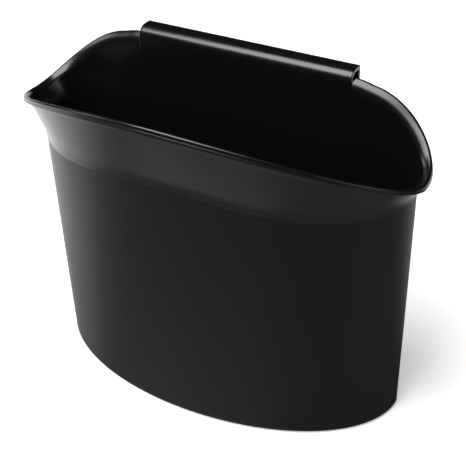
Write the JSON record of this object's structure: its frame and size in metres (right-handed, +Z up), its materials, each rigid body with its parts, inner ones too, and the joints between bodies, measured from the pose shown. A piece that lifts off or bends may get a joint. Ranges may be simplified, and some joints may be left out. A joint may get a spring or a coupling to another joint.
{
  "type": "car trash bin",
  "caption": "Slim hanging litter bin for a car: flat back, bowed front, flared rim that dips to a pouring lip at each end, and a hanger folded over the back.",
  "frame": {"origin": "on the ground under the middle of the overall box, the hanger included", "axes": "+X along the bin's width, +Y from the bowed front to the flat back and its hanger, +Z up out of the mouth"},
  "size_m": [0.2074, 0.0958, 0.166],
  "materials": {
    "bin": "black polypropylene, finely grained below the band, satin on the band, the rim and the inside"
  },
  "bodies": {
    "root": {"bin": "bin"}
  },
  "joints": []
}
